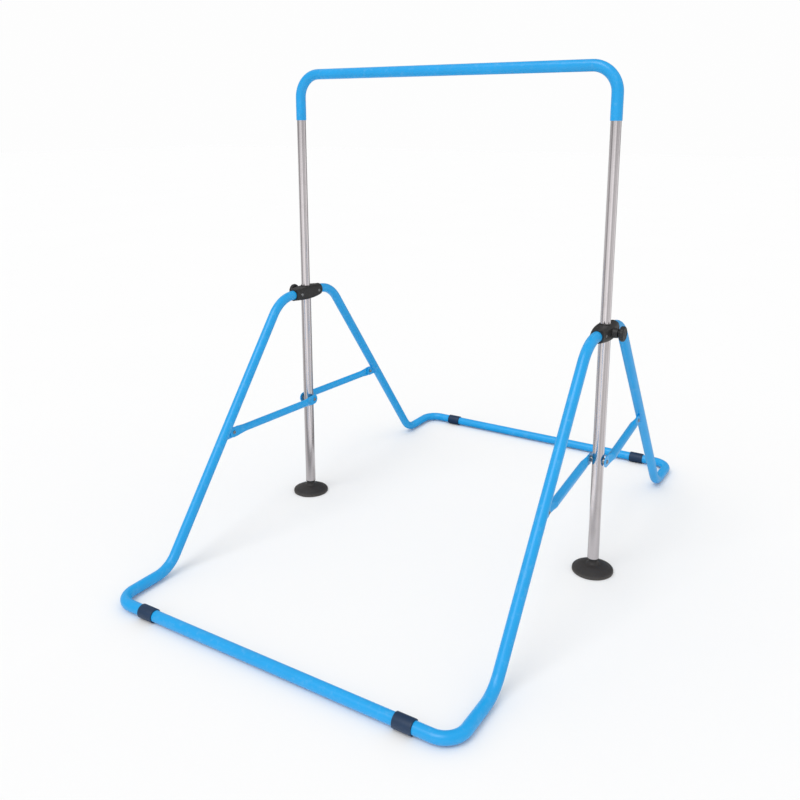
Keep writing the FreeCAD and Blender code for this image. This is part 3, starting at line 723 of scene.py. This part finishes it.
def flat_card(name, corners, surface):
    mesh = bpy.data.meshes.new(name)
    mesh.from_pydata(corners, [], [(0, 1, 2, 3)])
    mesh.materials.append(surface)
    card = bpy.data.objects.new(name, mesh)
    bpy.context.scene.collection.objects.link(card)
    return card


# ---- pieces ----

SLOT_WORDS = (
    ("sleeve", "sleeve_rubber"), ("foot_plug", "guide_nylon"), ("foot_screws", "zinc_fastener"),
    ("foot", "foot_rubber"), ("guide", "guide_nylon"), ("upright_bolts", "zinc_fastener"),
    ("upright", "chrome_tube"), ("bolts", "zinc_fastener"), ("nuts", "zinc_fastener"),
    ("screws", "zinc_fastener"), ("stud", "zinc_fastener"), ("knob", "knob_nylon"),
    ("insert", "insert_brass"), ("pad", "insert_brass"), ("block", "block_nylon"),
    ("weld_bosses", "zinc_fastener"), ("", "blue_tube"),
)
# The sizes below are in millimetres.
CLAMP_START = 41.0             # knob's inner face from the upright's axis
STUD_START = 21.4              # shoulder of the clamp stud from the upright's axis
SHOULDER_REACH, HEEL_REACH = 142.0, 708.0      # corners of a leg's line before they are rounded
TAB_HALF_THICKNESS, TAB_HALF_WIDTH = 2.0, 17.0
BOSS_RADIUS = 9.0
RING_STEPS, LINE_STEPS = 72, 24        # steps along the two kinds of weld

# Each corner is (radius, along, rounding, facet, lobe), with zeros left out at the end.
KNOB_OUTLINE = (
    (0, 12), (5, 12), (5, 0), (11, 0, 0.8), (11, 5, 0.8),                  # stud hole and hub
    (22.5, 5, 4.4, 0, 1), (22.5, 19, 4.4, 0, 1),                           # grooved disc
    (16.2, 19, 0.7), (14.8, 17.7, 1.0), (8.4, 17.7, 0.8), (7.4, 18.8, 0.8), (0, 18.8))  # dished face
STUD_RADIUS, STUD_LENGTH = 5.0, 31.6
STUD_TIP = ((0, -2.9), (2.5, -2.9, 0.5), (2.5, 0))
# screw hole, then the hollow
FOOT_UNDERSIDE = ((2.6, 6), (6.1, 6), (6.1, 3, 0.3), (49, 3, 1.0), (52, 0, 0.4))
TREAD_START, TREAD_BAND, TREAD_DEPTH = 52.6, 9.0, 0.9
TREAD_CORNERS = ((0.45, 0), (0.55, 1), (0.85, 1), (0.95, 0))    # share of its pitch, of its depth
RIM_EDGE = ((0, 0.9), (9.2, 3.2))                               # height, rounding
FOOT_SLOPE = ((58, 9.5), (41.5, 18.7), (23, 24))
FOOT_FLARE = ((23, 24), (16.9, 27.5), (14, 33))
NECK_EDGE = 0.9
GRIP_STUD = ((0, 0), (0.9, 0, 0.3), (0.9, 1.2), (0, 1.2))
GRIP_STUD_REACH, GRIP_STUD_HEIGHT = 45.0, 2.2
SLEEVE_EDGE = 1.3
HEAD_FLOOR = 0.5               # least metal under a hex socket
SOCKET_CHAMFER, SOCKET_FLARE = 0.25, 1.2
THREADED_LENGTH, THREAD_RUNOUT = 8.0, 0.3
NUT_BORE, NUT_BORE_EDGE, NUT_BORE_CHAMFER, NUT_CORNER_SHARE = 3.0, 3.4, 0.4, 0.95
TURNED_STEPS = {"stud": 32, "foot": 128, "grip_stud": 12, "sleeve": 96, "hexagon": 48}


def slot_of(name):
    """The finish of a node, by the first word that its name holds."""
    return next(slot for word, slot in SLOT_WORDS if word in name)


class KIPBAR_OT_finish_parts(bpy.types.Operator):
    """Give each piece its finish"""
    bl_idname = "kipbar.finish_parts"
    bl_label = "Finish the parts"

    def execute(self, context):
        for name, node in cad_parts.items():
            node.data.materials.clear()
            node.data.materials.append(finish(slot_of(name)))
        return {"FINISHED"}


class KIPBAR_OT_make_knobs(bpy.types.Operator):
    """Make the round grooved clamp knobs"""
    bl_idname = "kipbar.make_knobs"
    bl_label = "Make the knobs"

    def execute(self, context):
        fittings = context.scene.kipbar_fittings
        outline = rounded(KNOB_OUTLINE)
        for side, sign in SIDES:
            knob = turned(side + "_grooved_knob", "knob_nylon", outline, fittings.knob_turn_steps,
                          fittings.knob_lobes, fittings.knob_lobe_depth)
            lay_along_x(knob, sign * (UPRIGHT_X + CLAMP_START * MM), CLAMP_HEIGHT, sign)
            stand_in(knob, side + "_clamp_knob", "knob_nylon", side + "_knob")
        return {"FINISHED"}


class KIPBAR_OT_make_studs(bpy.types.Operator):
    """Make the threaded clamp studs"""
    bl_idname = "kipbar.make_studs"
    bl_label = "Make the clamp studs"

    def execute(self, context):
        fittings = context.scene.kipbar_fittings
        half_pitch = fittings.thread_pitch / 2
        core = STUD_RADIUS - half_pitch / MM
        outline = rounded([*STUD_TIP, (core, 0, 0.5), (core, STUD_LENGTH), (0, STUD_LENGTH)])
        for side, sign in SIDES:
            name = side + "_threaded_stud"
            stud = merged(name, [
                turned(name + "_core", "zinc_fastener", outline, TURNED_STEPS["stud"]),
                threaded(name + "_thread", "zinc_fastener", STUD_RADIUS * MM, fittings.thread_pitch,
                         half_pitch, STUD_LENGTH * MM - half_pitch)])
            lay_along_x(stud, sign * (UPRIGHT_X + STUD_START * MM), CLAMP_HEIGHT, sign)
            stand_in(stud, side + "_clamp_knob", "zinc_fastener", side + "_clamp_stud")
        return {"FINISHED"}


class KIPBAR_OT_make_feet(bpy.types.Operator):
    """Make the flared rubber feet, with tread rings and grip studs underneath"""
    bl_idname = "kipbar.make_feet"
    bl_label = "Make the feet"

    def execute(self, context):
        fittings = context.scene.kipbar_fittings
        low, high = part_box("right_foot")
        rim, top = (high.x - low.x) / 2 / MM, high.z / MM
        corners = [(FOOT_UNDERSIDE[0][0], top), *FOOT_UNDERSIDE]
        pitch = TREAD_BAND / fittings.foot_grooves
        for ring in range(fittings.foot_grooves):
            start = TREAD_START + ring * pitch
            corners += [(start + pitch * along, TREAD_DEPTH * deep) for along, deep in TREAD_CORNERS]
        corners += [(rim, height, rounding) for height, rounding in RIM_EDGE]
        corners += bowed(*FOOT_SLOPE) + bowed(*FOOT_FLARE)[1:]
        corners += [(FOOT_FLARE[-1][0], top, NECK_EDGE)]
        outline = rounded(corners, closed=True)
        angles = [2 * math.pi * i / fittings.foot_studs for i in range(fittings.foot_studs)]
        reach, height = GRIP_STUD_REACH * MM, GRIP_STUD_HEIGHT * MM
        for side, sign in SIDES:
            name = side + "_rubber_foot"
            foot = turned(name + "_body", "foot_rubber", outline, TURNED_STEPS["foot"])
            stud = turned(name + "_stud", "foot_rubber", rounded(GRIP_STUD), TURNED_STEPS["grip_stud"])
            studs = placed(name + "_studs", "foot_rubber", stud,
                           [(reach * math.cos(a), reach * math.sin(a), height) for a in angles],
                           [(0, 0, a) for a in angles])
            foot = merged(name, [foot, studs])
            foot.data.transform(Matrix.Translation((sign * UPRIGHT_X, 0, 0)))
            stand_in(foot, "stand", "foot_rubber", side + "_foot")
        return {"FINISHED"}


class KIPBAR_OT_make_sleeves(bpy.types.Operator):
    """Make the rubber sleeves over the joints of the floor frames"""
    bl_idname = "kipbar.make_sleeves"
    bl_label = "Make the sleeves"

    def execute(self, context):
        for corner in ("front_right", "front_left", "rear_right", "rear_left"):
            node = corner + "_sleeve"
            low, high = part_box(node)
            long, outer, bore = (high.x - low.x) / MM, (high.z - low.z) / 2 / MM, LEG_RADIUS / MM
            outline = rounded([(bore, 0), (outer, 0, SLEEVE_EDGE), (outer, long, SLEEVE_EDGE),
                               (bore, long)], closed=True)
            sleeve = turned(corner + "_rubber_sleeve", "sleeve_rubber", outline, TURNED_STEPS["sleeve"])
            turn = Matrix.Rotation(math.pi / 2, 4, "Y")
            centre = middle(node)
            sleeve.data.transform(Matrix.Translation((low.x, centre.y, centre.z)) @ turn)
            stand_in(sleeve, "stand", "sleeve_rubber", node)
        return {"FINISHED"}


def button_head(name, fittings, head_radius, head_height, shank_radius, shank_length):
    """A button head screw on the Z axis, its seat at 0 and its head upwards, sizes in millimetres."""
    flat = fittings.socket_width / MM / 2
    floor = head_height - min(fittings.socket_depth / MM, head_height - HEAD_FLOOR)
    pitch = fittings.bolt_pitch
    core, end = shank_radius - pitch / MM / 2, -shank_length
    plain_end = min(-0.2, end + THREADED_LENGTH)
    outline = [(0, floor, 0, 0), (flat, floor, 1, 0), (flat, head_height - SOCKET_CHAMFER, 1, 0),
               (flat * SOCKET_FLARE, head_height, 0, 0)]
    dome = bowed((head_radius * 0.55, head_height), (head_radius * 0.86, head_height * 0.78),
                 (head_radius, head_height * 0.25), 6)
    outline += [(*point, 0, 0) for point in dome]
    outline += [(head_radius, 0, 0, 0), (shank_radius, 0, 0, 0), (shank_radius, plain_end, 0, 0),
                (core, plain_end - THREAD_RUNOUT, 0, 0), (core, end, 0, 0), (0, end, 0, 0)]
    head = turned(name + "_head", "zinc_fastener", outline, TURNED_STEPS["hexagon"])
    ridge = threaded(name + "_thread", "zinc_fastener", shank_radius * MM, pitch,
                     end * MM + pitch / 2, plain_end * MM - pitch * 0.4)
    return merged(name, [head, ridge])


BOLT_SETS = {                  # head radius, head height, shank radius
    "block_bolts": (5.5, 3.6, 3.0),
    "brace_tab_bolts": (6.0, 3.4, 3.0),
    "brace_upright_bolts": (6.0, 3.4, 3.0),
}
SCREW_SETS = (                 # node, body, head radius, head height, turn of a screw
    ("bar_screws", "bar", 5.0, 2.6, (-math.pi / 2, 0, 0)),
    ("foot_screws", "stand", 6.0, 3.0, (math.pi, 0, 0)),
)
SCREW_SHANK_RADIUS = 2.5


def head_side(node, centre):
    """Which way along X a bolt's head points."""
    side = math.copysign(1, centre.x)
    if node == "block_bolts":
        return side
    if node == "brace_tab_bolts":
        return side * math.copysign(1, centre.y)
    return math.copysign(1, centre.x - side * UPRIGHT_X)


class KIPBAR_OT_make_bolts(bpy.types.Operator):
    """Make the button head bolts of the blocks and the braces"""
    bl_idname = "kipbar.make_bolts"
    bl_label = "Make the bolts"

    def execute(self, context):
        for node, (radius, height, shank) in BOLT_SETS.items():
            points, turns, span = [], [], 0
            for low, high in solids_of(node):
                centre = (low + high) / 2
                sign = head_side(node, centre)
                span = high.x - low.x
                seat = (high.x if sign > 0 else low.x) - sign * height * MM
                points.append((seat, centre.y, centre.z))
                turns.append(along_x(sign))
            bolt = button_head(node + "_one", context.scene.kipbar_fittings, radius, height, shank,
                               span / MM - height)
            bolts = placed(node + "_turned", "zinc_fastener", bolt, points, turns)
            set_outwards(bolts.data)
            stand_in(bolts, "stand", "zinc_fastener", node)
        return {"FINISHED"}


class KIPBAR_OT_make_nuts(bpy.types.Operator):
    """Make the hexagon nuts"""
    bl_idname = "kipbar.make_nuts"
    bl_label = "Make the nuts"

    def execute(self, context):
        chamfer = context.scene.kipbar_fittings.nut_chamfer / MM
        for node in ("block_nuts", "brace_tab_nuts"):
            boxes = solids_of(node)
            low, high = boxes[0]
            tall, flat = (high.x - low.x) / MM, (high.z - low.z) / 2 / MM
            shoulder = flat * NUT_CORNER_SHARE
            outline = [(NUT_BORE_EDGE, 0, 0, 0), (shoulder, 0, 0, 0), (flat, chamfer, 1, 0),
                       (flat, tall - chamfer, 1, 0), (shoulder, tall, 0, 0), (NUT_BORE_EDGE, tall, 0, 0),
                       (NUT_BORE, tall - NUT_BORE_CHAMFER, 0, 0), (NUT_BORE, NUT_BORE_CHAMFER, 0, 0),
                       (NUT_BORE_EDGE, 0, 0, 0)]
            nut = turned(node + "_one", "zinc_fastener", outline, TURNED_STEPS["hexagon"])
            # turned so that its corners point as the nuts' do in the CAD
            nut.data.transform(Matrix.Rotation(math.pi / 2, 4, "Z"))
            points = [(low.x, (low.y + high.y) / 2, (low.z + high.z) / 2) for low, high in boxes]
            nuts = placed(node + "_turned", "zinc_fastener", nut, points, [along_x(1)] * len(points))
            set_outwards(nuts.data)
            stand_in(nuts, "stand", "zinc_fastener", node)
        return {"FINISHED"}


class KIPBAR_OT_make_screws(bpy.types.Operator):
    """Make the screws at the back of the grip bar and under the feet"""
    bl_idname = "kipbar.make_screws"
    bl_label = "Make the screws"

    def execute(self, context):
        for node, body, head_radius, head_height, turn in SCREW_SETS:
            boxes = solids_of(node)
            points = []
            for low, high in boxes:
                centre = (low + high) / 2
                if body == "bar":
                    points.append((centre.x, high.y - head_height * MM, centre.z))
                    long = (high.y - low.y) / MM
                else:
                    points.append((centre.x, centre.y, low.z + head_height * MM))
                    long = (high.z - low.z) / MM
            screw = button_head(node + "_one", context.scene.kipbar_fittings, head_radius, head_height,
                                SCREW_SHANK_RADIUS, long - head_height)
            screws = placed(node + "_turned", "zinc_fastener", screw, points, [turn] * len(points))
            set_outwards(screws.data)
            stand_in(screws, body, "zinc_fastener", node)
        return {"FINISHED"}


def ring_path(sign, side):
    """Points where a weld boss meets its upright."""
    points = []
    for i in range(RING_STEPS + 1):
        angle = 2 * math.pi * i / RING_STEPS
        y, rise = BOSS_RADIUS * MM * math.cos(angle), BOSS_RADIUS * MM * math.sin(angle)
        out = math.sqrt(OUTER_RADIUS ** 2 - y ** 2)
        points.append((side * UPRIGHT_X + sign * out, y, BRACE_HEIGHT + rise))
    return points


def tab_paths(side, rear):
    """The two lines where a brace tab meets its leg, on the side that faces the upright."""
    floor_height = middle("front_floor_tube").z
    slope = (HEEL_REACH - SHOULDER_REACH) * MM / (CLAMP_HEIGHT - floor_height)
    reach = SHOULDER_REACH * MM + slope * (CLAMP_HEIGHT - BRACE_HEIGHT)
    down = Vector((0, -slope, -1)).normalized()
    inward = Vector((0, 1, -slope)).normalized()
    offset = math.sqrt(LEG_RADIUS ** 2 - (TAB_HALF_THICKNESS * MM) ** 2)
    centre = inward * offset
    # the plate's top and bottom edges are level, so each line runs between two heights
    ends = [(height * TAB_HALF_WIDTH * MM - centre.z) / down.z for height in (1, -1)]
    paths = []
    for across in (1, -1):
        points = []
        for i in range(LINE_STEPS + 1):
            place = Vector((0, -reach, BRACE_HEIGHT)) + centre + down * (
                ends[0] + (ends[1] - ends[0]) * i / LINE_STEPS)
            x = side * UPRIGHT_X + across * TAB_HALF_THICKNESS * MM
            points.append((x, -place.y if rear else place.y, place.z))
        paths.append(points)
    return paths


class KIPBAR_OT_lay_welds(bpy.types.Operator):
    """Lay the weld beads round the bosses and along the brace tabs"""
    bl_idname = "kipbar.lay_welds"
    bl_label = "Lay the welds"

    def execute(self, context):
        fittings = context.scene.kipbar_fittings
        rings = [ring_path(sign, side) for side in (1, -1) for sign in (1, -1)]
        lines = [path for side in (1, -1) for rear in (False, True) for path in tab_paths(side, rear)]
        for name, slot, paths in (("boss_weld_beads", "zinc_fastener", rings),
                                  ("tab_weld_beads", "blue_tube", lines)):
            points, edges = [], []
            for path in paths:
                start = len(points)
                points += path
                edges += [(i, i + 1) for i in range(start, len(points) - 1)]
            path = points_object(name + "_path", points, edges)
            beads = grown(name, "bead", slot, path=path, ripple_spacing=fittings.weld_ripple,
                          bead_width=fittings.weld_width)
            bpy.data.objects.remove(path)
            set_outwards(beads.data)
            stand_in(beads, "stand", slot)
        return {"FINISHED"}


class KIPBAR_OT_set_stage(bpy.types.Operator):
    """Set up the camera, the floor and the lights"""
    bl_idname = "kipbar.set_stage"
    bl_label = "Set the stage"

    def execute(self, context):
        stage = context.scene.kipbar_stage
        data = bpy.data.cameras.new("camera")
        data.sensor_width, data.lens = 36, stage.focal_length
        data.shift_x, data.shift_y = stage.shift_x, stage.shift_y
        data.clip_start, data.clip_end = 0.01, 200
        camera = bpy.data.objects.new("camera", data)
        camera.location = stage.camera_place
        camera.rotation_euler = look_along(stage.azimuth, stage.tilt)
        context.scene.collection.objects.link(camera)
        context.scene.camera = camera

        base = list(stage.floor)
        # seamless paper: matt, with broad patches a little duller where it has been walked on
        floor, tree, surface, place = surface_of("studio_floor", base, 1.0, **{"IOR": 1.0})
        tone = add_node(tree, "ShaderNodeMix", {"Factor": grain(tree, place, 900, 2),
                        "A": shade(base, 0.99), "B": base}, data_type="RGBA")
        # painted reflection: to glossy rays the floor's colour becomes the grey flag bands, so the gloss
        # of the piece mirrors dark bands painted into the floor
        painted_flag_reflection = add_node(tree, "ShaderNodeMix", {
            "Factor": add_node(tree, "ShaderNodeLightPath").outputs["Is Glossy Ray"], "A": tone,
            "B": flags(tree, place)}, data_type="RGBA")
        tree.links.new(result(painted_flag_reflection), surface.inputs["Base Color"])
        half = stage.floor_size / 2
        corners = ((-half, -half, 0), (half, -half, 0), (half, half, 0), (-half, half, 0))
        flat_card("studio_floor", corners, floor)
        context.scene.world = studio_room(stage)
        context.scene.view_settings.view_transform = "Standard"
        soft_sun("key_light", stage.azimuth + KEY_TURN, KEY_TILT, stage.key_power)
        return {"FINISHED"}


def studio_room(stage):
    """Even white light all round, with grey flags that only the gloss of the piece mirrors."""
    world = bpy.data.worlds.new("studio")
    world.use_nodes = True
    tree = world.node_tree
    tree.nodes.clear()
    way = add_node(tree, "ShaderNodeTexCoord").outputs["Generated"]
    path = add_node(tree, "ShaderNodeLightPath")
    seen = add_node(tree, "ShaderNodeMix", {"Factor": path.outputs["Is Glossy Ray"], "A": 1.0,
                                            "B": flags(tree, way)}, data_type="FLOAT")
    strength = add_node(tree, "ShaderNodeMath", {0: seen, 1: stage.world_strength}, operation="MULTIPLY")
    shown = add_node(tree, "ShaderNodeMix", {
        "Factor": path.outputs["Is Camera Ray"], "A": strength, "B": BACKDROP}, data_type="FLOAT")
    background = add_node(tree, "ShaderNodeBackground", {"Color": (1, 1, 1), "Strength": shown})
    add_node(tree, "ShaderNodeOutputWorld", {"Surface": background})
    return world


class KIPBAR_PT_sidebar(bpy.types.Panel):
    """Lists the steps that finish the kip bar"""
    bl_idname = "KIPBAR_PT_sidebar"
    bl_label = "Kip bar"
    bl_space_type = "VIEW_3D"
    bl_region_type = "UI"
    bl_category = "Kip bar"

    def draw(self, context):
        for operator in OPERATORS:
            self.layout.operator(operator.bl_idname)
        for group in (context.scene.kipbar_finishes, context.scene.kipbar_fittings,
                      context.scene.kipbar_stage):
            box = self.layout.box()
            for name in group.__annotations__:
                box.prop(group, name)


SETTINGS = (KipbarFinishes, KipbarFittings, KipbarStage)
OPERATORS = (KIPBAR_OT_finish_parts, KIPBAR_OT_make_knobs, KIPBAR_OT_make_studs, KIPBAR_OT_make_feet,
             KIPBAR_OT_make_sleeves, KIPBAR_OT_make_bolts, KIPBAR_OT_make_nuts,
             KIPBAR_OT_make_screws, KIPBAR_OT_lay_welds, KIPBAR_OT_set_stage)
POINTERS = {"kipbar_finishes": KipbarFinishes, "kipbar_fittings": KipbarFittings,
            "kipbar_stage": KipbarStage}


def register():
    for made in (*SETTINGS, *OPERATORS, KIPBAR_PT_sidebar):
        bpy.utils.register_class(made)
    for name, kind in POINTERS.items():
        setattr(bpy.types.Scene, name, bpy.props.PointerProperty(type=kind))


def unregister():
    for name in POINTERS:
        delattr(bpy.types.Scene, name)
    for made in reversed((*SETTINGS, *OPERATORS, KIPBAR_PT_sidebar)):
        bpy.utils.unregister_class(made)


def main():
    register()
    for operator in OPERATORS:
        group, name = operator.bl_idname.split(".")
        getattr(getattr(bpy.ops, group), name)()


if __name__ == "__main__":
    main()
